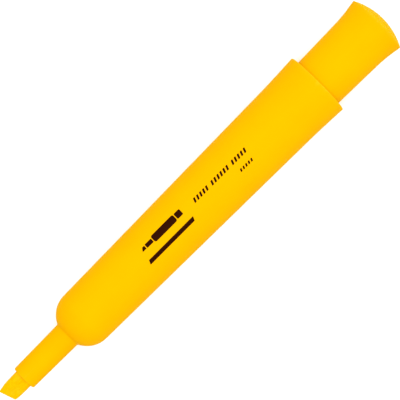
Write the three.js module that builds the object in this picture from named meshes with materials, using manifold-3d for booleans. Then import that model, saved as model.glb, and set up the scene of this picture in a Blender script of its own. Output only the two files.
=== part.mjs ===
import * as THREE from 'three';
import { mergeVertices } from 'three/addons/utils/BufferGeometryUtils.js';
import Module from 'manifold-3d';

// A chisel-tip desk highlighter lying on its side, with its cap pushed into the back of the barrel.
// Millimetres. X runs along the pen from the nib to the cap, +Z is up, and the pen lies on Z = 0.
// Stations along the pen, all named X, count from the nib's leading corner.

const SEGMENTS = 36;              // facets around every turned piece
const FIT_GAP = 0.1;              // play between turned pieces that sit inside one another
const END_GAP = 0.3;              // play where two pieces meet end to end

const PEN_LENGTH = 140.8;         // nib corner to the top of the cap's dome, cap posted

const NIB_WIDTH = 5.36;
const NIB_THICKNESS = 4;
const NIB_EDGE_RADIUS = 1.3;      // rounding of the slab's four long edges
const NIB_SLANT = 19;             // degrees that the writing edge leans from square
// The nib's narrow sides near the writing edge: [distance back from the corner, inset from full width]
const NIB_LEADING_SIDE = [[0, 0.68], [0.12, 0.54], [0.4, 0.47], [1.35, 0.36], [2.35, 0.13], [3.4, 0.05]];
const NIB_TRAILING_SIDE = [[0, 0.4], [0.15, 0.26], [0.5, 0.15], [1.1, 0.08], [2, 0.03]];
const NIB_CHISEL_LENGTH = 4.9;    // how far back the chisel's two bevels reach
const NIB_EDGE_THICKNESS = 1.2;   // thickness at the writing edge
const NIB_POINT_X = 28.35;        // the buried end turns into a blunt point from here
const NIB_POINT_RADIUS = 3.1;
const NIB_POINT_SLOPE = 0.23;
const NIB_END_X = 38.35;          // end of that point, inside the reservoir

const MOUTH_X = 7.15;             // front end of the nozzle
const MOUTH_RADIUS = 3.56;
const MOUTH_ROUND = 0.25;
const NECK_RADIUS = 3.74;         // nozzle radius where it meets the shoulder
const NECK_FILLET = 0.6;
const NIB_SLOT_PLAY = 0.2;        // clearance around the nib in its slot
const VENT_WIDTH = 0.9;           // air grooves over and under the nib
const VENT_DEPTH = 0.4;

const SHOULDER_X = 29.95;         // centre of the shoulder's arc, where it meets the barrel
const SHOULDER_ARC = 7.2;
const BARREL_FRONT_RADIUS = 7.95;
const WALL = 1.6;
const CHAMBER_FRONT_ANGLE = 153;  // degrees round the shoulder's arc where the chamber starts

const FLARE_X = 103.35;           // the back of the barrel flares a little from here
const FLARE_START_RADIUS = 9.01;
const RIM_X = 116.55;             // back rim of the barrel
const RIM_RADIUS = 9.55;
const RIM_ROUND = 0.25;

const SOCKET_RADIUS = 7.62;       // socket in the back of the barrel that holds the posted cap
const SOCKET_CHAMFER = 0.15;
const LEDGE_X = 104.55;           // step that the rear plug's flange sits on
const CHAMBER_RADIUS = 7.2;       // reservoir chamber at the ledge

const RIB_COUNT = 6;              // ribs inside the barrel, which hold the reservoir centred
const RIB_WIDTH = 0.8;
const RIB_END_X = 93.35;
const RIB_STOP_RADIUS = 4.4;      // the ribs reach in this far to stop the reservoir's front end
const RESERVOIR_START_X = 33.85;
const RESERVOIR_END_X = 94.35;
const RESERVOIR_RADIUS = 5.4;
const WRAP_THICKNESS = 0.15;

const PLUG_SKIRT_X = 97.35;       // front edge of the plug's skirt
const PLUG_SKIRT_RADIUS = 6.9;
const PLUG_SKIRT_WALL = 1;
const PLUG_BEAD = 0.12;
const PLUG_FLANGE = 0.9;
const PLUG_BOSS_RADIUS = 3;

const CAP_MOUTH_X = 111.35;       // the posted cap reaches this far into the socket
const CAP_MOUTH_RADIUS = 7.4;
const CAP_BORE_RADIUS = 6.1;      // inside the cap at its mouth
const CAP_DEEP_RADIUS = 5.95;     // inside the cap at its closed end
const CAP_WAIST_X = 130.75;       // the cap flares outward from here
const CAP_WAIST_RADIUS = 7.84;
const CAP_FLARE_LENGTH = 6.5;
const CAP_FLARE_SLOPE = 0.19;
const CAP_CORNER_X = 138.65;      // sharp rim around the domed top
const CAP_CORNER_ROUND = 0.2;
const DOME_RADIUS = 18.4;
const DOME_WALL = 1.5;

const SEAL_START_X = 120.35;      // open end of the sleeve that shuts off the nozzle when capped
const SEAL_END_X = 138.25;
const SEAL_BORE = 3.95;
const SEAL_WALL = 0.75;
const SEAL_FLOOR = 0.9;
const SEAL_BEAD = 0.39;           // how far the bead that grips the nozzle stands in

const YELLOW = new THREE.Color(0xffc800);

const wasm = await Module();
wasm.setup();

// Points [x, radius] on a circle of a profile, from one angle to another in degrees.
function arc(centreX, centreRadius, radius, from, to, steps) {
  return Array.from({ length: steps + 1 }, (_, i) => {
    const angle = THREE.MathUtils.degToRad(from + (to - from) * i / steps);
    return [centreX + radius * Math.cos(angle), centreRadius + radius * Math.sin(angle)];
  });
}

// Turns a profile of [x, radius] points about the pen's axis, with flats facing up and down.
function turned(profile) {
  const points = profile.map(([x, radius]) => new THREE.Vector2(radius, x));
  const geometry = new THREE.LatheGeometry(points, SEGMENTS, Math.PI / SEGMENTS);
  return geometry.rotateZ(-Math.PI / 2);
}

// Extrudes an outline in Y and Z along the pen's axis, between two stations.
function alongPen(outline, fromX, toX) {
  const turn = new THREE.Matrix4().set(0, 0, 1, fromX, 1, 0, 0, 0, 0, 1, 0, 0, 0, 0, 0, 1);
  const settings = { depth: toX - fromX, bevelEnabled: false, curveSegments: 5 };
  return new THREE.ExtrudeGeometry(outline, settings).applyMatrix4(turn);
}

// Extrudes an outline of [x, z] points across the pen, centred on it.
function acrossPen(points, width) {
  const outline = new THREE.Shape(points.map(([x, z]) => new THREE.Vector2(x, z)));
  const geometry = new THREE.ExtrudeGeometry(outline, { depth: width, bevelEnabled: false });
  return geometry.translate(0, 0, -width / 2).rotateX(Math.PI / 2);
}

// A rectangle with rounded corners, the section of the nib and of its slot.
function roundedSection(width, height, radius) {
  const x = width / 2;
  const y = height / 2;
  const outline = new THREE.Shape();
  outline.absarc(x - radius, y - radius, radius, 0, Math.PI / 2);
  outline.absarc(radius - x, y - radius, radius, Math.PI / 2, Math.PI);
  outline.absarc(radius - x, radius - y, radius, Math.PI, Math.PI * 1.5);
  outline.absarc(x - radius, radius - y, radius, Math.PI * 1.5, Math.PI * 2);
  return outline;
}

function solid(geometry) {
  const bare = geometry.clone();
  bare.deleteAttribute('normal');
  bare.deleteAttribute('uv');
  const merged = mergeVertices(bare);
  const corners = merged.index.array;
  const kept = [];
  for (let i = 0; i < corners.length; i += 3) {
    const [a, b, c] = [corners[i], corners[i + 1], corners[i + 2]];
    if (a !== b && b !== c && c !== a) kept.push(a, b, c);
  }
  return new wasm.Manifold(new wasm.Mesh({
    numProp: 3,
    vertProperties: merged.attributes.position.array,
    triVerts: new Uint32Array(kept),
  }));
}

function geometryOf(manifold) {
  const mesh = manifold.getMesh();
  const geometry = new THREE.BufferGeometry();
  geometry.setAttribute('position', new THREE.BufferAttribute(mesh.vertProperties, 3));
  geometry.setIndex(new THREE.BufferAttribute(mesh.triVerts, 1));
  geometry.computeVertexNormals();
  return geometry;
}

// The radius of the nib's pointed end at a station.
const nibPointRadius = (x) => NIB_POINT_RADIUS - NIB_POINT_SLOPE * (x - NIB_POINT_X);

// How far back the slanted writing edge stands, at a distance across the nib.
function nibFrontX(y) {
  const leadingY = NIB_WIDTH / 2 - NIB_LEADING_SIDE[0][1];
  return (leadingY - y) * Math.tan(THREE.MathUtils.degToRad(NIB_SLANT));
}

// Felt slab: slanted chisel edge in front, pointed at the back where it enters the reservoir.
function nibGeometry() {
  const slab = alongPen(roundedSection(NIB_WIDTH, NIB_THICKNESS, NIB_EDGE_RADIUS), -1, NIB_END_X);

  const half = NIB_WIDTH / 2;
  const trailingX = nibFrontX(NIB_TRAILING_SIDE[0][1] - half);
  const backX = NIB_END_X + 1;
  const faceOutline = acrossPen([
    [backX, -half - 0.1], [backX, half + 0.1], [MOUTH_X, half + 0.1],
    ...NIB_LEADING_SIDE.map(([back, inset]) => [back, half - inset]).reverse(),
    ...NIB_TRAILING_SIDE.map(([back, inset]) => [trailingX + back, inset - half]),
    [MOUTH_X, -half - 0.1],
  ], NIB_THICKNESS + 1).rotateX(-Math.PI / 2);

  const lean = THREE.MathUtils.degToRad(NIB_SLANT);
  const chiselX = nibFrontX(0) * Math.cos(lean) - 0.1;
  const top = NIB_THICKNESS / 2 + 0.1;
  const edge = NIB_EDGE_THICKNESS / 2;
  const chisel = acrossPen([
    [chiselX, edge - 0.25], [chiselX + 0.25, edge], [NIB_CHISEL_LENGTH, top], [backX + 5, top],
    [backX + 5, -top], [NIB_CHISEL_LENGTH, -top], [chiselX + 0.25, -edge], [chiselX, 0.25 - edge],
  ], NIB_WIDTH * 6).rotateZ(lean);

  const point = turned([
    [-2, 0], [-2, NIB_WIDTH], [NIB_POINT_X, NIB_WIDTH], [NIB_POINT_X, NIB_POINT_RADIUS],
    [NIB_END_X - 0.4, nibPointRadius(NIB_END_X - 0.4)], [NIB_END_X, 0.4], [NIB_END_X, 0],
  ]);
  return geometryOf(
    solid(slab).intersect(solid(faceOutline)).intersect(solid(chisel)).intersect(solid(point)));
}

// One-piece moulded barrel: nozzle, shoulder, long tapered tube and the socket in its back end.
function barrelGeometry() {
  const shoulderCentre = BARREL_FRONT_RADIUS - SHOULDER_ARC;
  const filletRise = NECK_RADIUS + NECK_FILLET - shoulderCentre;
  const filletX = SHOULDER_X - Math.sqrt((SHOULDER_ARC + NECK_FILLET) ** 2 - filletRise ** 2);
  const filletEnd = THREE.MathUtils.radToDeg(Math.asin(filletRise / (SHOULDER_ARC + NECK_FILLET)));

  const flareRise = RIM_RADIUS - FLARE_START_RADIUS;
  const taper = (FLARE_START_RADIUS - BARREL_FRONT_RADIUS) / (FLARE_X - SHOULDER_X);
  const flareLength = RIM_X - RIM_ROUND - FLARE_X;
  const flareBend = flareRise - taper * flareLength;
  const flare = [0.25, 0.5, 0.75].map((t) => [
    FLARE_X + t * flareLength,
    FLARE_START_RADIUS + taper * t * flareLength + flareBend * t * t,
  ]);

  const chamberFront = arc(
    SHOULDER_X, shoulderCentre, SHOULDER_ARC - WALL, 90, CHAMBER_FRONT_ANGLE, 6);
  const [chamberFrontX] = chamberFront.at(-1);

  const shell = solid(turned([
    [MOUTH_X, 0],
    ...arc(MOUTH_X + MOUTH_ROUND, MOUTH_RADIUS - MOUTH_ROUND, MOUTH_ROUND, 180, 90, 3),
    ...arc(filletX, NECK_RADIUS + NECK_FILLET, NECK_FILLET, 270, 360 - filletEnd, 4),
    ...arc(SHOULDER_X, shoulderCentre, SHOULDER_ARC, 180 - filletEnd, 90, 10).slice(1),
    [FLARE_X, FLARE_START_RADIUS],
    ...flare,
    ...arc(RIM_X - RIM_ROUND, RIM_RADIUS - RIM_ROUND, RIM_ROUND, 90, 0, 3),
    [RIM_X, SOCKET_RADIUS + SOCKET_CHAMFER],
    [RIM_X - SOCKET_CHAMFER, SOCKET_RADIUS],
    [LEDGE_X, SOCKET_RADIUS],
    [LEDGE_X, CHAMBER_RADIUS],
    ...chamberFront,
    [chamberFrontX, 0],
  ]));

  const slot = solid(alongPen(
    roundedSection(
      NIB_WIDTH + 2 * NIB_SLOT_PLAY, NIB_THICKNESS + 2 * NIB_SLOT_PLAY,
      NIB_EDGE_RADIUS + NIB_SLOT_PLAY),
    MOUTH_X - 1, chamberFrontX + 1));
  const ventHeight = NIB_THICKNESS + 2 * (NIB_SLOT_PLAY + VENT_DEPTH);
  const ventLength = chamberFrontX - MOUTH_X + 2;
  const vents = solid(new THREE.BoxGeometry(ventLength, VENT_WIDTH, ventHeight)
    .translate(MOUTH_X - 1 + ventLength / 2, 0, 0));

  const ribInner = RESERVOIR_RADIUS + 2 * FIT_GAP + WRAP_THICKNESS;
  const ribFoot = CHAMBER_RADIUS + FIT_GAP;
  const stopX = RESERVOIR_START_X - END_GAP;
  const rib = acrossPen([
    [SHOULDER_X, RIB_STOP_RADIUS], [stopX, RIB_STOP_RADIUS], [stopX, ribInner],
    [RIB_END_X, ribInner], [RIB_END_X + 1, ribFoot], [SHOULDER_X + 1, ribFoot],
  ], RIB_WIDTH);
  let body = shell.subtract(slot).subtract(vents);
  for (let i = 0; i < RIB_COUNT; i += 1) {
    body = body.add(solid(rib.clone().rotateX((i + 0.5) * 2 * Math.PI / RIB_COUNT)));
  }
  return geometryOf(body);
}

// Fibre rod that stores the ink, with a conical pocket where the nib's point sits.
function reservoirCoreGeometry() {
  const pocketEndX = NIB_END_X + END_GAP;
  const edge = 0.2;
  return turned([
    [pocketEndX, 0],
    [pocketEndX, nibPointRadius(pocketEndX) + FIT_GAP],
    [RESERVOIR_START_X, nibPointRadius(RESERVOIR_START_X) + FIT_GAP],
    [RESERVOIR_START_X, RESERVOIR_RADIUS - edge],
    [RESERVOIR_START_X + edge, RESERVOIR_RADIUS],
    [RESERVOIR_END_X - edge, RESERVOIR_RADIUS],
    [RESERVOIR_END_X, RESERVOIR_RADIUS - edge],
    [RESERVOIR_END_X, 0],
  ]);
}

// Thin film tube around the fibre rod, open at both ends.
function reservoirWrapGeometry() {
  const inner = RESERVOIR_RADIUS + FIT_GAP;
  const startX = RESERVOIR_START_X + 0.5;
  const endX = RESERVOIR_END_X - 0.5;
  return turned([
    [startX, inner], [startX, inner + WRAP_THICKNESS],
    [endX, inner + WRAP_THICKNESS], [endX, inner], [startX, inner],
  ]);
}

// Plug that closes the reservoir chamber: flange on the ledge, beaded skirt and a centre boss.
function rearPlugGeometry() {
  const flangeX = LEDGE_X + FIT_GAP;
  const discX = LEDGE_X - 1;
  const bead = (x) => [
    [x - 0.5, PLUG_SKIRT_RADIUS], [x - 0.2, PLUG_SKIRT_RADIUS + PLUG_BEAD],
    [x + 0.2, PLUG_SKIRT_RADIUS + PLUG_BEAD], [x + 0.5, PLUG_SKIRT_RADIUS],
  ];
  const skirtInner = PLUG_SKIRT_RADIUS - PLUG_SKIRT_WALL;
  return turned([
    [RESERVOIR_END_X + END_GAP, 0],
    [RESERVOIR_END_X + END_GAP, PLUG_BOSS_RADIUS - 0.3],
    [RESERVOIR_END_X + 2 * END_GAP, PLUG_BOSS_RADIUS],
    [discX, PLUG_BOSS_RADIUS + 0.2],
    [discX, skirtInner - 0.1],
    [PLUG_SKIRT_X, skirtInner],
    [PLUG_SKIRT_X, skirtInner + 0.4],
    [PLUG_SKIRT_X + 0.6, PLUG_SKIRT_RADIUS],
    ...bead(PLUG_SKIRT_X + 2),
    ...bead(PLUG_SKIRT_X + 4.5),
    [flangeX, PLUG_SKIRT_RADIUS],
    [flangeX, SOCKET_RADIUS - FIT_GAP],
    [flangeX + PLUG_FLANGE - 0.2, SOCKET_RADIUS - FIT_GAP],
    [flangeX + PLUG_FLANGE, SOCKET_RADIUS - FIT_GAP - 0.2],
    [flangeX + PLUG_FLANGE, 0],
  ]);
}

// Cap, posted: its mouth is inside the socket and its flared, domed top closes the pen's far end.
function capShellGeometry() {
  const mouthSlope = (CAP_WAIST_RADIUS - CAP_MOUTH_RADIUS) / (CAP_WAIST_X - CAP_MOUTH_X);
  const flare = [0, 0.25, 0.5, 0.75, 1].map((t) => {
    const run = t * CAP_FLARE_LENGTH;
    const bend = (CAP_FLARE_SLOPE - mouthSlope) / (2 * CAP_FLARE_LENGTH);
    return [CAP_WAIST_X + run, CAP_WAIST_RADIUS + mouthSlope * run + bend * run * run];
  });
  const [flareEndX, flareEndRadius] = flare.at(-1);
  const cornerRadius = flareEndRadius + CAP_FLARE_SLOPE * (CAP_CORNER_X - flareEndX);
  const domeX = PEN_LENGTH - DOME_RADIUS;
  const rimAngle = THREE.MathUtils.radToDeg(Math.asin((cornerRadius - CAP_CORNER_ROUND) / DOME_RADIUS));
  const innerDome = DOME_RADIUS - DOME_WALL;
  const innerAngle = THREE.MathUtils.radToDeg(Math.asin(CAP_DEEP_RADIUS / innerDome));
  return turned([
    [CAP_MOUTH_X, CAP_BORE_RADIUS + 0.1],
    ...arc(CAP_MOUTH_X + 0.4, CAP_MOUTH_RADIUS - 0.4, 0.4, 180, 90, 3),
    ...flare,
    [CAP_CORNER_X - CAP_CORNER_ROUND, cornerRadius - CAP_FLARE_SLOPE * CAP_CORNER_ROUND],
    ...arc(domeX, 0, DOME_RADIUS, rimAngle, 0, 6),
    ...arc(domeX, 0, innerDome, 0, innerAngle, 4),
    [CAP_MOUTH_X + 0.1, CAP_BORE_RADIUS],
    [CAP_MOUTH_X, CAP_BORE_RADIUS + 0.1],
  ]);
}

// Inner seal: a closed sleeve held in the cap by two collars, with a bead that grips the nozzle.
function capInnerSealGeometry() {
  const floorX = SEAL_END_X - SEAL_FLOOR;
  const collar = CAP_DEEP_RADIUS - FIT_GAP;
  const outerFront = SEAL_BORE + SEAL_WALL;
  const outerBack = outerFront - 0.2;
  const beadX = SEAL_START_X + 3.5;
  return turned([
    [floorX, 0],
    [floorX, SEAL_BORE - 0.35],
    [beadX + 0.8, SEAL_BORE - 0.1],
    [beadX + 0.3, SEAL_BORE - SEAL_BEAD],
    [beadX - 0.3, SEAL_BORE - SEAL_BEAD],
    [beadX - 0.8, SEAL_BORE - 0.1],
    [SEAL_START_X + 0.4, SEAL_BORE],
    [SEAL_START_X, SEAL_BORE + 0.4],
    [SEAL_START_X, collar - 0.2],
    [SEAL_START_X + 0.2, collar],
    [SEAL_START_X + 1.2, collar],
    [SEAL_START_X + 1.4, outerFront],
    [SEAL_END_X - 3.6, outerBack],
    [SEAL_END_X - 3.4, collar],
    [SEAL_END_X - 2.4, collar],
    [SEAL_END_X - 2.2, outerBack],
    [SEAL_END_X - 0.3, outerBack - 0.1],
    [SEAL_END_X, outerBack - 0.4],
    [SEAL_END_X, 0],
  ]);
}

function piece(name, geometry, color, roughness) {
  const material = new THREE.MeshStandardMaterial({ color, roughness, metalness: 0 });
  const mesh = new THREE.Mesh(geometry, material);
  mesh.name = name;
  return mesh;
}

// The turned pieces have flats that face down, so the barrel's rim lies on its flat.
const restHeight = RIM_RADIUS * Math.cos(Math.PI / SEGMENTS);

const pen = new THREE.Group();
pen.position.set(-PEN_LENGTH / 2, 0, restHeight);

const body = new THREE.Group();
body.add(
  piece('barrel', barrelGeometry(), YELLOW, 0.5),
  piece('nib', nibGeometry(), 0xffcf1a, 0.95),
  piece('reservoir_core', reservoirCoreGeometry(), 0xf2dc3c, 1),
  piece('reservoir_wrap', reservoirWrapGeometry(), 0xf4f4ee, 0.3),
  piece('rear_plug', rearPlugGeometry(), YELLOW, 0.5),
);

const cap = new THREE.Group();
cap.add(
  piece('cap_shell', capShellGeometry(), YELLOW, 0.5),
  piece('cap_inner_seal', capInnerSealGeometry(), 0xf1efe6, 0.6),
);

pen.add(body, cap);

export default pen;
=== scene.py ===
import math

import bmesh
import bpy
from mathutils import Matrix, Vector


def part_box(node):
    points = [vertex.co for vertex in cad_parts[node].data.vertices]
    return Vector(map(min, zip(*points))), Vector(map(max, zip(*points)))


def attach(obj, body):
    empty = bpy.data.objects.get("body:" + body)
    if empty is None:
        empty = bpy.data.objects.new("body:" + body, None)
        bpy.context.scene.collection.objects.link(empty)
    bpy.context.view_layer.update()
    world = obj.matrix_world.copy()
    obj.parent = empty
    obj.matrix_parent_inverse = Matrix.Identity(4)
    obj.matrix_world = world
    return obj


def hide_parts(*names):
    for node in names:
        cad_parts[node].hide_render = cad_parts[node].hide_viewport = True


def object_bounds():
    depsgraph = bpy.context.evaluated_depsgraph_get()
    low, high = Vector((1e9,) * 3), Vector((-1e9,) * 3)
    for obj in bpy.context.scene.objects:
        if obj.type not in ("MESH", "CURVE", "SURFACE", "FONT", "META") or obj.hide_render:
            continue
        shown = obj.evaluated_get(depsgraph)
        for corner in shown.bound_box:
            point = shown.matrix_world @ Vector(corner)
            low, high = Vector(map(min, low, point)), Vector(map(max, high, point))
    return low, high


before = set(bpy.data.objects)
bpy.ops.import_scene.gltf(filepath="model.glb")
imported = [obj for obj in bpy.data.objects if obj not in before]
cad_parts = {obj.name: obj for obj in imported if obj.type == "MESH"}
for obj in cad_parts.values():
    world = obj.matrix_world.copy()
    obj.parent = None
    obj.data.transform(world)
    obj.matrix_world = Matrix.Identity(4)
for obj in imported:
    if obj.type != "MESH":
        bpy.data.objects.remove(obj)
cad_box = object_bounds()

# A chisel-tip desk highlighter with its cap posted. Profiles are in millimetres in the pen's own
# terms: x runs along the axis from the nib's leading corner, and radius is the distance from the axis.
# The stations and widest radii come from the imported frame, and the rest are the design's own sizes.

MM = 0.001
AROUND = 192                     # points round every turned surface

PEN_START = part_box("nib")[0].x
AXIS_Z = (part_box("barrel")[0].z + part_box("barrel")[1].z) / 2


def front(node):
    return (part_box(node)[0].x - PEN_START) / MM


def back(node):
    return (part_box(node)[1].x - PEN_START) / MM


def widest(node):
    low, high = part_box(node)
    return (high.y - low.y) / 2 / MM


def place(x, across, up):
    return Vector((PEN_START + x * MM, across * MM, AXIS_Z + up * MM))


# Nib
NIB_HALF_WIDTH = widest("nib")
NIB_HALF_THICKNESS = (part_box("nib")[1].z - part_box("nib")[0].z) / 2 / MM
NIB_EDGE_RADIUS = 1.3            # rounding of the slab's four long edges
NIB_SLANT = 19                   # degrees that the writing edge falls back from its leading corner
NIB_CHISEL = 4.5                 # how far back the chisel's two bevels reach
NIB_EDGE_HALF = 0.55             # half the thickness at the writing edge
NIB_POINT_X = 28.35              # the buried end turns into a blunt point from here
NIB_POINT_RADIUS = 3.1
NIB_POINT_SLOPE = 0.23

# How the nib's two sides round off into the writing edge: distance back from the corner, and inset
NIB_LEADING_SIDE = [(0, 0.68), (0.12, 0.54), (0.4, 0.47), (1.35, 0.36), (2.35, 0.13), (3.4, 0.05), (6, 0)]
NIB_TRAILING_SIDE = [(0, 0.4), (0.15, 0.26), (0.5, 0.15), (1.1, 0.08), (2, 0.03), (4.5, 0)]

# Barrel
MOUTH_X = front("barrel")
MOUTH_RADIUS = 3.56
NECK_RADIUS = 3.74
NECK_FILLET = 0.6
SLOT_PLAY = 0.2
VENT_WIDTH = 0.9                 # air grooves over and under the nib
VENT_REACH = NIB_HALF_THICKNESS + SLOT_PLAY + 0.4
SHOULDER_X = 29.95
SHOULDER_ARC = 7.2
BARREL_FRONT_RADIUS = 7.95
WALL = 1.6
CHAMBER_FRONT_ANGLE = 153        # degrees round the shoulder's arc where the chamber starts
FLARE_X = 103.35
FLARE_START_RADIUS = 9.01
RIM_X = back("barrel")
RIM_RADIUS = widest("barrel")
RIM_ROUND = 0.25
SOCKET_RADIUS = 7.62
SOCKET_ROUND = 0.08
LEDGE_X = 104.55
CHAMBER_RADIUS = 7.2
RIB_COUNT = 6
RIB_WIDTH = 0.8
RIB_RADIUS = 5.75
RIB_START_X = SHOULDER_X + 4
RIB_END_X = 93.35

# Rear plug
PLUG_SKIRT_RADIUS = 6.9
PLUG_SKIRT_X = 97.35

# Seal inside the cap
SEAL_BORE = 3.95
SEAL_OUTER = 4.7

# Cap
CAP_MOUTH_X = front("cap_shell")
CAP_MOUTH_RADIUS = 7.4
CAP_BORE_RADIUS = 6.1
CAP_DEEP_RADIUS = 5.95
CAP_WAIST_X = 130.75
CAP_WAIST_RADIUS = 7.84
CAP_FLARE_LENGTH = 6.5
CAP_FLARE_SLOPE = 0.19
CAP_CORNER_X = 138.65
CAP_CORNER_RADIUS = widest("cap_shell")
DOME_TOP_X = back("cap_shell")
DOME_RADIUS = 18.4
DOME_WALL = 1.5


def arc(centre_x, centre_radius, radius, start, end, steps):
    """Points (x, radius) on a circle of a profile, from one angle to another in degrees."""
    points = []
    for i in range(steps + 1):
        angle = math.radians(start + (end - start) * i / steps)
        points.append((centre_x + radius * math.cos(angle), centre_radius + radius * math.sin(angle)))
    return points


def rounded_rectangle(half_width, half_height, corner):
    """The distance from the middle to a rounded rectangle's edge, as a function of the angle."""
    inner_x, inner_y = half_width - corner, half_height - corner

    def radius(angle):
        c, s = abs(math.cos(angle)), abs(math.sin(angle))
        if c > 0 and half_width / c * s <= inner_y:
            return half_width / c
        if s > 0 and half_height / s * c <= inner_x:
            return half_height / s
        along = c * inner_x + s * inner_y
        return along + math.sqrt(along ** 2 - inner_x ** 2 - inner_y ** 2 + corner ** 2)

    return radius


def smooth(mesh, sharp_above=40):
    for polygon in mesh.polygons:
        polygon.use_smooth = True
    mesh.set_sharp_from_angle(angle=math.radians(sharp_above))


def new_object(name, bm):
    bmesh.ops.recalc_face_normals(bm, faces=bm.faces)
    mesh = bpy.data.meshes.new(name)
    bm.to_mesh(mesh)
    bm.free()
    smooth(mesh)
    made = bpy.data.objects.new(name, mesh)
    bpy.context.scene.collection.objects.link(made)
    return made


def skin(name, rings, closed):
    """A mesh through rings of equal length. A ring of one point is a pole."""
    bm = bmesh.new()
    rows = [[bm.verts.new(p) for p in ring] for ring in rings]
    pairs = list(zip(rows, rows[1:]))
    if closed:
        pairs.append((rows[-1], rows[0]))
    for a, b in pairs:
        count = max(len(a), len(b))
        for i in range(count):
            j = (i + 1) % count
            corners = [a[i % len(a)], a[j % len(a)], b[j % len(b)], b[i % len(b)]]
            bm.faces.new(list(dict.fromkeys(corners)))
    return new_object(name, bm)


def turned(name, profile, closed=False, around=AROUND):
    """Turns (x, radius) points about the axis. A radius may be a function of the angle."""
    rings = []
    for x, radius in profile:
        if radius == 0:
            rings.append([place(x, 0, 0)])
            continue
        ring = []
        for i in range(around):
            angle = 2 * math.pi * i / around
            r = radius(angle) if callable(radius) else radius
            ring.append(place(x, r * math.cos(angle), r * math.sin(angle)))
        rings.append(ring)
    return skin(name, rings, closed)


def nib_point_radius(x):
    return NIB_POINT_RADIUS - NIB_POINT_SLOPE * (x - NIB_POINT_X)


def barrel_radius(x):
    """Outer radius of the long tapered tube, with its slight flare at the back."""
    taper = (FLARE_START_RADIUS - BARREL_FRONT_RADIUS) / (FLARE_X - SHOULDER_X)
    length = RIM_X - RIM_ROUND - FLARE_X
    bend = RIM_RADIUS - FLARE_START_RADIUS - taper * length
    share = max(0, (x - FLARE_X) / length)
    return BARREL_FRONT_RADIUS + taper * (x - SHOULDER_X) + bend * share ** 2


def make_barrel():
    shoulder_centre = BARREL_FRONT_RADIUS - SHOULDER_ARC
    rise = NECK_RADIUS + NECK_FILLET - shoulder_centre
    reach = SHOULDER_ARC + NECK_FILLET
    fillet_x = SHOULDER_X - math.sqrt(reach ** 2 - rise ** 2)
    fillet_end = math.degrees(math.asin(rise / reach))
    chamber = arc(SHOULDER_X, shoulder_centre, SHOULDER_ARC - WALL, 90, CHAMBER_FRONT_ANGLE, 24)
    chamber_front = chamber[-1][0]

    slot = rounded_rectangle(
        NIB_HALF_WIDTH + SLOT_PLAY, NIB_HALF_THICKNESS + SLOT_PLAY, NIB_EDGE_RADIUS + SLOT_PLAY)

    def eased_slot(extra):
        def at(angle):
            vent = min(VENT_WIDTH / 2 / max(1e-6, abs(math.cos(angle))),
                       VENT_REACH / max(1e-6, abs(math.sin(angle))))
            return max(slot(angle), vent) + extra
        return at

    def ribbed(radius):
        def at(angle):
            turn = 2 * math.pi / RIB_COUNT
            off = abs((angle % turn) - turn / 2) * RIB_RADIUS
            return RIB_RADIUS if off < RIB_WIDTH / 2 else radius
        return at

    mouth_round = 0.28
    lead = 0.12
    tube = [FLARE_X * i / 12 + SHOULDER_X * (12 - i) / 12 for i in range(1, 12)]
    flare = [FLARE_X + (RIM_X - RIM_ROUND - FLARE_X) * i / 10 for i in range(10)]
    profile = [
        (MOUTH_X + lead, eased_slot(0)),
        (MOUTH_X + lead / 3, eased_slot(lead / 3)),
        (MOUTH_X, eased_slot(lead)),
        *arc(MOUTH_X + mouth_round, MOUTH_RADIUS - mouth_round, mouth_round, 180, 90, 8),
        *arc(fillet_x, NECK_RADIUS + NECK_FILLET, NECK_FILLET, 270, 360 - fillet_end, 10),
        *arc(SHOULDER_X, shoulder_centre, SHOULDER_ARC, 180 - fillet_end, 90, 40)[1:],
        *[(x, barrel_radius(x)) for x in tube + flare],
        *arc(RIM_X - RIM_ROUND, RIM_RADIUS - RIM_ROUND, RIM_ROUND, 90, 0, 8),
        *arc(RIM_X - SOCKET_ROUND, SOCKET_RADIUS + SOCKET_ROUND, SOCKET_ROUND, 0, -90, 6),
        (LEDGE_X + 0.2, SOCKET_RADIUS),
        (LEDGE_X, SOCKET_RADIUS - 0.1),
        (LEDGE_X, CHAMBER_RADIUS),
        (RIB_END_X + 0.5, CHAMBER_RADIUS - 0.1),
        (RIB_END_X, ribbed(CHAMBER_RADIUS - 0.1)),
        (RIB_START_X, ribbed(chamber[0][1])),
        (RIB_START_X - 0.4, chamber[0][1]),
        *chamber,
        (chamber_front, eased_slot(0)),
    ]
    return turned("barrel_body", profile, closed=True)


def nib_front(y):
    """How far back the slanted writing edge stands, at a distance across the nib."""
    leading_corner = NIB_HALF_WIDTH - NIB_LEADING_SIDE[0][1]
    return (leading_corner - y) * math.tan(math.radians(NIB_SLANT))


def half_width(side, depth):
    """How far one side of the nib stands from its middle, at a depth behind the writing edge."""
    for (start, inset), (end, next_inset) in zip(side, side[1:]):
        if depth <= end:
            return NIB_HALF_WIDTH - inset - (next_inset - inset) * (depth - start) / (end - start)
    return NIB_HALF_WIDTH


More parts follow.
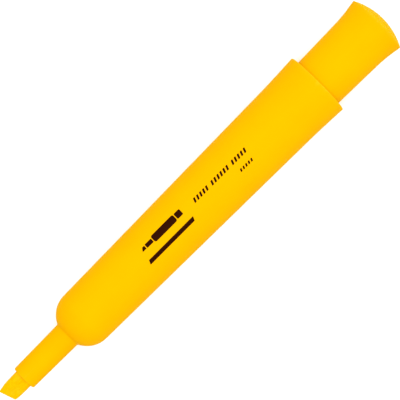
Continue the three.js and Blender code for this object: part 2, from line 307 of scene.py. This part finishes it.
def make_nib():
    """Felt slab, with a slanted chisel edge in front and a blunt point in the reservoir."""
    around = 144
    edge_round = 0.3
    section = rounded_rectangle(NIB_HALF_WIDTH, NIB_HALF_THICKNESS, NIB_EDGE_RADIUS)
    depths = [edge_round * (1 - math.cos(math.radians(a))) for a in range(0, 91, 10)]
    depths += [edge_round + 0.1 * i for i in range(1, 8)] + [1.0 + 0.25 * i for i in range(1, 24)]
    depths += [7.0 + 0.7 * i for i in range(30)] + [28.0 + 0.6 * i for i in range(16)]
    slant_end, square_from = 5, 10   # the section turns from slanted to square between these depths

    rings = []
    for depth in depths:
        rounding = math.sqrt(max(0, 1 - (1 - min(1, depth / edge_round)) ** 2))
        bevel = min(1, depth / NIB_CHISEL)
        thick = NIB_EDGE_HALF + (NIB_HALF_THICKNESS - NIB_EDGE_HALF) * bevel
        lead_half = half_width(NIB_LEADING_SIDE, depth)
        trail_half = half_width(NIB_TRAILING_SIDE, depth)
        fade = 1 - max(0, min(1, (depth - slant_end) / (square_from - slant_end)))
        ring = []
        for i in range(around):
            angle = 2 * math.pi * (i + 0.5) / around
            radius = section(angle)
            if depth > NIB_POINT_X - 4:
                radius = min(radius, nib_point_radius(max(depth, NIB_POINT_X)))
            y, z = radius * math.cos(angle), radius * math.sin(angle)
            y *= (lead_half if y > 0 else trail_half) / NIB_HALF_WIDTH
            z *= rounding * thick / NIB_HALF_THICKNESS
            ring.append(place(depth + nib_front(y) * fade, y, z))
        rings.append(ring)
    rings.append([place(back("nib"), 0, 0)])
    made = skin("nib_felt", rings, closed=False)
    bm = bmesh.new()
    bm.from_mesh(made.data)
    bmesh.ops.remove_doubles(bm, verts=bm.verts, dist=1e-7)
    bmesh.ops.dissolve_degenerate(bm, edges=bm.edges, dist=1e-8)
    bmesh.ops.recalc_face_normals(bm, faces=bm.faces)
    bm.to_mesh(made.data)
    bm.free()
    smooth(made.data, 50)
    return made


def make_reservoir():
    start, end = front("reservoir_core"), back("reservoir_core")
    radius = widest("reservoir_core")
    pocket = back("nib") + 0.3
    core = turned("reservoir_fibre_rod", [
        (pocket, 0), (pocket, nib_point_radius(pocket) + 0.1), (start, nib_point_radius(start) + 0.1),
        *arc(start + 0.2, radius - 0.2, 0.2, 180, 90, 4),
        *arc(end - 0.2, radius - 0.2, 0.2, 90, 0, 4), (end, 0),
    ])
    wrap_start, wrap_end = front("reservoir_wrap"), back("reservoir_wrap")
    outer = widest("reservoir_wrap")
    wrap = turned("reservoir_film", [
        (wrap_start, outer - 0.14), (wrap_start, outer), (wrap_end, outer), (wrap_end, outer - 0.14),
    ], closed=True)
    return core, wrap


def make_rear_plug():
    start, end = front("rear_plug"), back("rear_plug")
    flange = widest("rear_plug")
    skirt, disc_x, skirt_x = PLUG_SKIRT_RADIUS, LEDGE_X - 1, PLUG_SKIRT_X

    def bead(x):
        return [(x - 0.5, skirt), (x - 0.3, skirt + 0.06), (x, skirt + 0.12), (x + 0.3, skirt + 0.06),
                (x + 0.5, skirt)]

    return turned("rear_plug_body", [
        (start, 0), (start, 2.7), (start + 0.1, 2.9), (start + 0.3, 3), (disc_x - 0.3, 3.15),
        (disc_x, 3.4), (disc_x, 5.6), (disc_x - 0.3, 5.8),
        (skirt_x, 5.9), (skirt_x, 6.3), (skirt_x + 0.6, skirt),
        *bead(skirt_x + 2), *bead(skirt_x + 4.5),
        (LEDGE_X + 0.1, skirt), (LEDGE_X + 0.1, flange),
        *arc(end - 0.25, flange - 0.25, 0.25, 90, 0, 5),
        (end, 5.2), (end - 0.12, 5.0), (end - 0.35, 1.5), (end - 0.5, 1.2), (end - 0.5, 0.55),
        (end - 0.3, 0.45), (end - 0.28, 0),
    ])


def make_cap():
    slope = (CAP_WAIST_RADIUS - CAP_MOUTH_RADIUS) / (CAP_WAIST_X - CAP_MOUTH_X)
    bend = (CAP_FLARE_SLOPE - slope) / (2 * CAP_FLARE_LENGTH)
    flare = []
    for i in range(13):
        run = CAP_FLARE_LENGTH * i / 12
        flare.append((CAP_WAIST_X + run, CAP_WAIST_RADIUS + slope * run + bend * run * run))
    corner_round = 0.16
    dome_centre = DOME_TOP_X - DOME_RADIUS
    shoulder = CAP_CORNER_RADIUS - corner_round * 0.6
    rim_angle = math.degrees(math.asin(shoulder / DOME_RADIUS))
    dome = [p for p in arc(dome_centre, 0, DOME_RADIUS, rim_angle, 0, 40) if p[1] > 1.9]
    inner_radius = DOME_RADIUS - DOME_WALL
    inner_angle = math.degrees(math.asin(CAP_DEEP_RADIUS / inner_radius))
    inner_dome = arc(dome_centre, 0, inner_radius, 0, inner_angle, 16)
    waist_steps = 12
    wall = [
        (CAP_MOUTH_X + (CAP_WAIST_X - CAP_MOUTH_X) * i / waist_steps,
         CAP_MOUTH_RADIUS + (CAP_WAIST_RADIUS - CAP_MOUTH_RADIUS) * i / waist_steps)
        for i in range(1, waist_steps)
    ]
    return turned("cap_body", [
        (inner_dome[0][0], 0),
        *inner_dome[1:],
        (CAP_MOUTH_X + 0.3, CAP_BORE_RADIUS),
        (CAP_MOUTH_X + 0.08, CAP_BORE_RADIUS + 0.06),
        (CAP_MOUTH_X, CAP_BORE_RADIUS + 0.2),
        *arc(CAP_MOUTH_X + 0.4, CAP_MOUTH_RADIUS - 0.4, 0.4, 180, 90, 8),
        *wall,
        *flare,
        (CAP_CORNER_X - corner_round, CAP_CORNER_RADIUS - CAP_FLARE_SLOPE * corner_round),
        (CAP_CORNER_X - corner_round * 0.3, CAP_CORNER_RADIUS),
        *dome,
        # the injection gate's shallow dish and its trimmed nub, in the middle of the dome
        (DOME_TOP_X - 0.11, 1.7), (DOME_TOP_X - 0.2, 1.5), (DOME_TOP_X - 0.22, 0.6),
        (DOME_TOP_X - 0.14, 0.5), (DOME_TOP_X - 0.1, 0.3), (DOME_TOP_X - 0.11, 0),
    ])


def make_cap_seal():
    start, end = front("cap_inner_seal"), back("cap_inner_seal")
    collar = widest("cap_inner_seal")
    bore, outer = SEAL_BORE, SEAL_OUTER
    bead_x = start + 3.5
    return turned("cap_seal_sleeve", [
        (end - 0.9, 0), (end - 0.9, bore - 0.45), (end - 1.0, bore - 0.35),
        (bead_x + 0.8, bore - 0.1), (bead_x + 0.45, bore - 0.28), (bead_x, bore - 0.38),
        (bead_x - 0.45, bore - 0.28), (bead_x - 0.8, bore - 0.1), (start + 0.4, bore),
        (start + 0.12, bore + 0.12), (start, bore + 0.4),
        *arc(start + 0.2, collar - 0.2, 0.2, 180, 90, 4),
        *arc(start + 1.1, collar - 0.2, 0.2, 90, 0, 4),
        (start + 1.5, outer), (end - 3.6, outer - 0.2),
        *arc(end - 3.3, collar - 0.2, 0.2, 180, 90, 4),
        *arc(end - 2.4, collar - 0.2, 0.2, 90, 0, 4),
        (end - 2.1, outer - 0.2), (end - 0.4, outer - 0.3), (end - 0.1, outer - 0.45),
        (end, outer - 0.7), (end, 0),
    ])


def rounded_bar(x, across, length, width, corner, lean=0.0):
    """An outline of (x, across) points centred at x and across. lean shears its two ends."""
    outline = []
    for quarter, (side, edge) in enumerate(((1, 1), (-1, 1), (-1, -1), (1, -1))):
        for along, aside in arc(0, 0, corner, 90 * quarter, 90 * quarter + 90, 6):
            t = edge * (width / 2 - corner) + aside
            outline.append((x + side * (length / 2 - corner) + along + lean * t, across + t))
    return outline


def in_fixed_order(bm):
    """The same mesh in sorted order, since cutting and extruding leave it in an order that varies."""
    points = sorted(bm.verts, key=lambda v: tuple(v.co))
    number = {v: i for i, v in enumerate(points)}
    faces = []
    for face in bm.faces:
        corners = [number[v] for v in face.verts]
        first = corners.index(min(corners))
        faces.append(corners[first:] + corners[:first])
    made = bmesh.new()
    verts = [made.verts.new(v.co) for v in points]
    for corners in sorted(faces):
        made.faces.new([verts[i] for i in corners])
    bm.free()
    return made


def printed(name, outlines):
    """Closed outlines of (x, across) points, printed as one thin layer of ink on the barrel's upper side."""
    thickness, bite, bend, touching = 0.018, 0.03, 0.3, 0.001
    bm = bmesh.new()
    for outline in outlines:
        bm.faces.new([bm.verts.new((x, across, 0)) for x, across in outline])
    reach = max(abs(v.co.y) for v in bm.verts)
    for i in range(-int(reach / bend), int(reach / bend) + 1):
        geometry = bm.verts[:] + bm.edges[:] + bm.faces[:]
        bmesh.ops.bisect_plane(
            bm, geom=geometry, dist=touching, plane_co=(0, i * bend, 0), plane_no=(0, 1, 0))
    bmesh.ops.triangulate(bm, faces=bm.faces[:])
    grown = bmesh.ops.extrude_face_region(bm, geom=bm.faces[:])["geom"]
    upper = {v for v in grown if isinstance(v, bmesh.types.BMVert)}
    for v in bm.verts:
        radius = barrel_radius(v.co.x) + (thickness if v in upper else -bite)
        angle = v.co.y / barrel_radius(v.co.x)
        v.co = place(v.co.x, radius * math.sin(angle), radius * math.cos(angle))
    return new_object(name, in_fixed_order(bm))


def printed_picture(x, across):
    """A small picture of a marker above the broad stroke that it draws."""
    marker_y = across + 1.55
    nib_front_x, nib_back_x = x + 1.0, x + 2.4
    return [
        [(nib_front_x, marker_y - 0.5), (nib_front_x + 0.7, marker_y + 0.5),
         (nib_back_x, marker_y + 0.5), (nib_back_x, marker_y - 0.5)],
        rounded_bar(x + 3.8, marker_y, 2.3, 1.2, 0.12),
        rounded_bar(x + 9.25, marker_y, 8.1, 2.1, 0.55),
        rounded_bar(x + 14.55, marker_y, 2.0, 1.8, 0.3),
        rounded_bar(x + 8.5, across - 2.15, 16.2, 1.2, 0.1, lean=0.45),
    ]


def printed_row(x, across, height, groups, pitch):
    """A row of short slanted strokes, in groups with a gap between them."""
    strokes = []
    for count in groups:
        for _ in range(count):
            strokes.append(rounded_bar(x + pitch / 2, across, pitch * 0.55, height, pitch * 0.12, lean=0.35))
            x += pitch
        x += pitch * 0.8
    return strokes


# Materials

def nodes_for(name):
    material = bpy.data.materials.new(name)
    material.use_nodes = True
    tree = material.node_tree
    return material, tree, tree.nodes["Principled BSDF"]


def texture_space(tree, scale=(1, 1, 1)):
    """Object coordinates, in metres, stretched by scale."""
    source = tree.nodes.new("ShaderNodeTexCoord")
    mapping = tree.nodes.new("ShaderNodeMapping")
    mapping.inputs["Scale"].default_value = scale
    tree.links.new(source.outputs["Object"], mapping.inputs["Vector"])
    return mapping.outputs["Vector"]


def noise(tree, vector, scale, detail=3, roughness=0.5):
    node = tree.nodes.new("ShaderNodeTexNoise")
    node.inputs["Scale"].default_value = scale
    node.inputs["Detail"].default_value = detail
    node.inputs["Roughness"].default_value = roughness
    tree.links.new(vector, node.inputs["Vector"])
    return node.outputs["Fac"]


def remap(tree, value, low, high, to_low, to_high):
    node = tree.nodes.new("ShaderNodeMapRange")
    for socket, number in (("From Min", low), ("From Max", high), ("To Min", to_low), ("To Max", to_high)):
        node.inputs[socket].default_value = number
    tree.links.new(value, node.inputs["Value"])
    return node.outputs["Result"]


def mix_colors(tree, factor, first, second):
    """Mixes two colours, each an RGB triple or a socket."""
    node = tree.nodes.new("ShaderNodeMix")
    node.data_type = "RGBA"
    tree.links.new(factor, node.inputs["Factor"])
    for socket, color in (("A", first), ("B", second)):
        target = [s for s in node.inputs if s.name == socket and s.type == "RGBA"][0]
        if isinstance(color, tuple):
            target.default_value = (*color, 1)
        else:
            tree.links.new(color, target)
    return [s for s in node.outputs if s.type == "RGBA"][0]


def math_node(tree, operation, first, second):
    node = tree.nodes.new("ShaderNodeMath")
    node.operation = operation
    for socket, value in zip(node.inputs, (first, second)):
        if isinstance(value, (int, float)):
            socket.default_value = value
        else:
            tree.links.new(value, socket)
    return node.outputs["Value"]


def bump(tree, height, distance, strength=1.0, under=None):
    node = tree.nodes.new("ShaderNodeBump")
    node.inputs["Distance"].default_value = distance
    node.inputs["Strength"].default_value = strength
    tree.links.new(height, node.inputs["Height"])
    if under is not None:
        tree.links.new(under, node.inputs["Normal"])
    return node.outputs["Normal"]


def moulded_plastic(name, color, deep, edge, roughness, specular, tint):
    """Satin moulded plastic: faint cloudiness, flow streaks, fine texture, scuffs, and paler edges that are
    partly wear and partly a painted highlight along rims and corners.
    """
    material, tree, shader = nodes_for(name)
    plain = texture_space(tree)
    lengthwise = texture_space(tree, (0.08, 1, 1))

    clouds = remap(tree, noise(tree, plain, 120, 4), 0.35, 0.65, 0, 1)
    streaks = remap(tree, noise(tree, lengthwise, 900, 3), 0.4, 0.7, 0, 0.5)
    patches = math_node(tree, "MULTIPLY", math_node(tree, "ADD", clouds, streaks), 0.5)
    tone = mix_colors(tree, patches, color, deep)

    geometry = tree.nodes.new("ShaderNodeNewGeometry")
    # Paler colour on sharp edges: partly wear, partly a painted highlight along the barrel rim and the cap's
    # corner
    edge_wear_and_highlight_mask = remap(tree, geometry.outputs["Pointiness"], 0.508, 0.53, 0, 1)
    patchy = remap(tree, noise(tree, plain, 1500, 5, 0.7), 0.4, 0.6, 0.3, 1)
    patchy_edge_wear_and_highlight = math_node(tree, "MULTIPLY", edge_wear_and_highlight_mask, patchy)
    tree.links.new(mix_colors(tree, patchy_edge_wear_and_highlight, tone, edge), shader.inputs["Base Color"])

    scuffs = remap(tree, noise(tree, texture_space(tree, (0.03, 1, 1)), 2600, 4, 0.6), 0.6, 0.72, 0, 0.12)
    satin = remap(tree, noise(tree, plain, 2200, 4), 0.3, 0.7, roughness - 0.05, roughness + 0.05)
    tree.links.new(math_node(tree, "ADD", satin, scuffs), shader.inputs["Roughness"])
    shader.inputs["Specular IOR Level"].default_value = specular
    shader.inputs["Specular Tint"].default_value = (*tint, 1)

    swell = bump(tree, noise(tree, texture_space(tree, (0.35, 1, 1)), 110, 2), 0.00012, 0.5)
    grain = bump(tree, noise(tree, plain, 6500, 3, 0.6), 0.000012, 0.5, swell)
    tree.links.new(bump(tree, scuffs, 0.00002, 0.5, grain), shader.inputs["Normal"])
    return material


def inked_felt(name, color, deep, pale):
    """Dense felt soaked with ink: fibres along the pen, darker between them as a deeper ink tone and a
    painted shade in the crevices, and a stippled cut end.
    """
    material, tree, shader = nodes_for(name)
    along = texture_space(tree, (0.09, 1, 1))
    fibres = noise(tree, along, 4200, 5, 0.65)
    pores = noise(tree, texture_space(tree), 5200, 4, 0.7)
    weave = math_node(
        tree, "ADD", math_node(tree, "MULTIPLY", fibres, 0.65), math_node(tree, "MULTIPLY", pores, 0.35))
    # Darker, more orange colour between the fibres: partly the ink's deeper tone, partly painted shade in
    # the crevices
    ink_tone_and_crevice_shade = mix_colors(tree, remap(tree, weave, 0.38, 0.6, 0, 1), deep, color)
    blotches = remap(tree, noise(tree, texture_space(tree), 420, 3), 0.5, 0.72, 0, 0.4)
    tree.links.new(mix_colors(tree, blotches, ink_tone_and_crevice_shade, pale), shader.inputs["Base Color"])
    tree.links.new(remap(tree, weave, 0.3, 0.7, 0.72, 0.95), shader.inputs["Roughness"])
    shader.inputs["Specular IOR Level"].default_value = 0.1
    shader.inputs["Specular Tint"].default_value = (1.0, 0.62, 0.02, 1)
    shader.inputs["Sheen Weight"].default_value = 0.05
    shader.inputs["Sheen Roughness"].default_value = 0.5
    shader.inputs["Sheen Tint"].default_value = (1.0, 0.75, 0.1, 1)
    body = bump(tree, fibres, 0.00007, 0.8)
    tree.links.new(bump(tree, pores, 0.00004, 0.7, body), shader.inputs["Normal"])
    return material


def clear_film(name):
    material, tree, shader = nodes_for(name)
    creases = noise(tree, texture_space(tree, (0.3, 1, 1)), 500, 3)
    tint = mix_colors(tree, remap(tree, creases, 0.4, 0.6, 0, 1), (0.86, 0.85, 0.72), (0.92, 0.86, 0.5))
    tree.links.new(tint, shader.inputs["Base Color"])
    tree.links.new(remap(tree, creases, 0.3, 0.7, 0.12, 0.25), shader.inputs["Roughness"])
    tree.links.new(bump(tree, creases, 0.00005, 0.5), shader.inputs["Normal"])
    return material


def printed_ink(name):
    """Pad-printed ink: near black with a brown cast, thinner in specks."""
    material, tree, shader = nodes_for(name)
    specks = remap(tree, noise(tree, texture_space(tree), 5200, 4, 0.7), 0.62, 0.74, 0, 0.6)
    tone = mix_colors(tree, specks, (0.02, 0.003, 0.0005), (0.1, 0.035, 0.002))
    tree.links.new(tone, shader.inputs["Base Color"])
    tree.links.new(remap(tree, specks, 0, 1, 0.42, 0.6), shader.inputs["Roughness"])
    shader.inputs["Specular IOR Level"].default_value = 0.02
    shader.inputs["Specular Tint"].default_value = (1.0, 0.6, 0.3, 1)
    tree.links.new(bump(tree, specks, 0.00001, 0.4), shader.inputs["Normal"])
    return material


def finish_piece(piece, body, slot, material, *stands_for):
    piece.data.materials.append(material)
    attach(piece, body)
    if stands_for:
        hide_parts(*stands_for)


YELLOW = (0.69, 0.343, 0.0)
DEEP_YELLOW = (0.67, 0.326, 0.0)
# Paler yellow for sharp edges: wear, and a painted highlight along the rims and the cap's corner
WORN_AND_HIGHLIT_YELLOW = (0.73, 0.39, 0.008)

yellow = moulded_plastic(
    "yellow_polypropylene", YELLOW, DEEP_YELLOW, WORN_AND_HIGHLIT_YELLOW, 0.45, 0.003, (1.0, 0.62, 0.02))
# The third colour is the paler edge colour here too: wear plus a painted highlight on sharp edges
natural = moulded_plastic(
    "natural_polyethylene", (0.8, 0.78, 0.7), (0.76, 0.73, 0.63), (0.84, 0.83, 0.78),
    0.5, 0.35, (1.0, 1.0, 1.0))
felt = inked_felt("yellow_felt", (0.75, 0.405, 0.0), (0.63, 0.3, 0.0), (0.78, 0.44, 0.01))
fibre = inked_felt("reservoir_fibre", (0.85, 0.6, 0.02), (0.62, 0.38, 0.0), (0.9, 0.7, 0.1))
film = clear_film("reservoir_film_gloss")
ink = printed_ink("print_ink_black")

core, wrap = make_reservoir()
finish_piece(make_barrel(), "barrel", "yellow_plastic", yellow, "barrel")
finish_piece(make_nib(), "barrel", "nib_felt", felt, "nib")
finish_piece(core, "barrel", "reservoir_fibre", fibre, "reservoir_core")
finish_piece(wrap, "barrel", "clear_film", film, "reservoir_wrap")
finish_piece(make_rear_plug(), "barrel", "yellow_plastic", yellow, "rear_plug")
finish_piece(make_cap(), "cap", "yellow_plastic", yellow, "cap_shell")
finish_piece(make_cap_seal(), "cap", "natural_plastic", natural, "cap_inner_seal")

# Where the picture and the two rows of marks start, and their distances from the pen's middle line
finish_piece(printed("print_picture", printed_picture(51.95, 0.2)), "barrel", "print_ink", ink)
finish_piece(
    printed("print_row", printed_row(71.55, 1.25, 1.3, (5, 6, 5), 1.1)), "barrel", "print_ink", ink)
finish_piece(
    printed("print_row_small", printed_row(85.65, -1.8, 0.85, (5,), 0.95)), "barrel", "print_ink", ink)


# Studio

def make_floor():
    half = 4.0
    mesh = bpy.data.meshes.new("floor")
    low = cad_box[0].z
    corners = [(-half, -half, low), (half, -half, low), (half, half, low), (-half, half, low)]
    mesh.from_pydata(corners, [], [(0, 1, 2, 3)])
    floor = bpy.data.objects.new("floor", mesh)
    bpy.context.scene.collection.objects.link(floor)
    material, tree, shader = nodes_for("floor_white")
    clouds = noise(tree, texture_space(tree), 40, 3)
    shade = mix_colors(tree, clouds, (0.93, 0.93, 0.93), (0.95, 0.95, 0.95))
    tree.links.new(shade, shader.inputs["Base Color"])
    shader.inputs["Roughness"].default_value = 0.9
    shader.inputs["Specular IOR Level"].default_value = 0.1
    mesh.materials.append(material)


def make_area_light(name, location, aim, size, power):
    light = bpy.data.lights.new(name, "AREA")
    light.shape = "DISK"
    light.size = size
    light.energy = power
    lamp = bpy.data.objects.new(name, light)
    lamp.location = location
    lamp.rotation_euler = (Vector(aim) - Vector(location)).to_track_quat("-Z", "Y").to_euler()
    bpy.context.scene.collection.objects.link(lamp)


def make_camera():
    """Square above the pen, turned so that the pen runs from the lower left to the upper right."""
    distance = 0.658
    view_width = 0.10526
    aim_x = PEN_START + 73.05 * MM
    aim_y = 0.3 * MM
    camera = bpy.data.cameras.new("camera")
    camera.sensor_width = 36
    camera.lens = camera.sensor_width * distance / view_width
    camera.clip_start = 0.01
    camera.clip_end = 20
    holder = bpy.data.objects.new("camera", camera)
    holder.location = (aim_x, aim_y, AXIS_Z + distance)
    holder.rotation_euler = (0, 0, math.radians(-45.09))
    bpy.context.scene.collection.objects.link(holder)
    bpy.context.scene.camera = holder


def make_world(strength):
    world = bpy.data.worlds.new("studio")
    world.use_nodes = True
    background = world.node_tree.nodes["Background"]
    background.inputs["Color"].default_value = (1, 1, 1, 1)
    background.inputs["Strength"].default_value = strength
    bpy.context.scene.world = world


make_floor()
make_world(0.86)
make_area_light("overhead", (0.0, -0.01, 1.5), (0, 0, 0), 1.0, 21.6)
make_area_light("cap_end", (0.8, 0.0, 0.2), (0, 0, 0.01), 0.5, 2.3)
make_camera()
bpy.context.scene.view_settings.view_transform = "Standard"
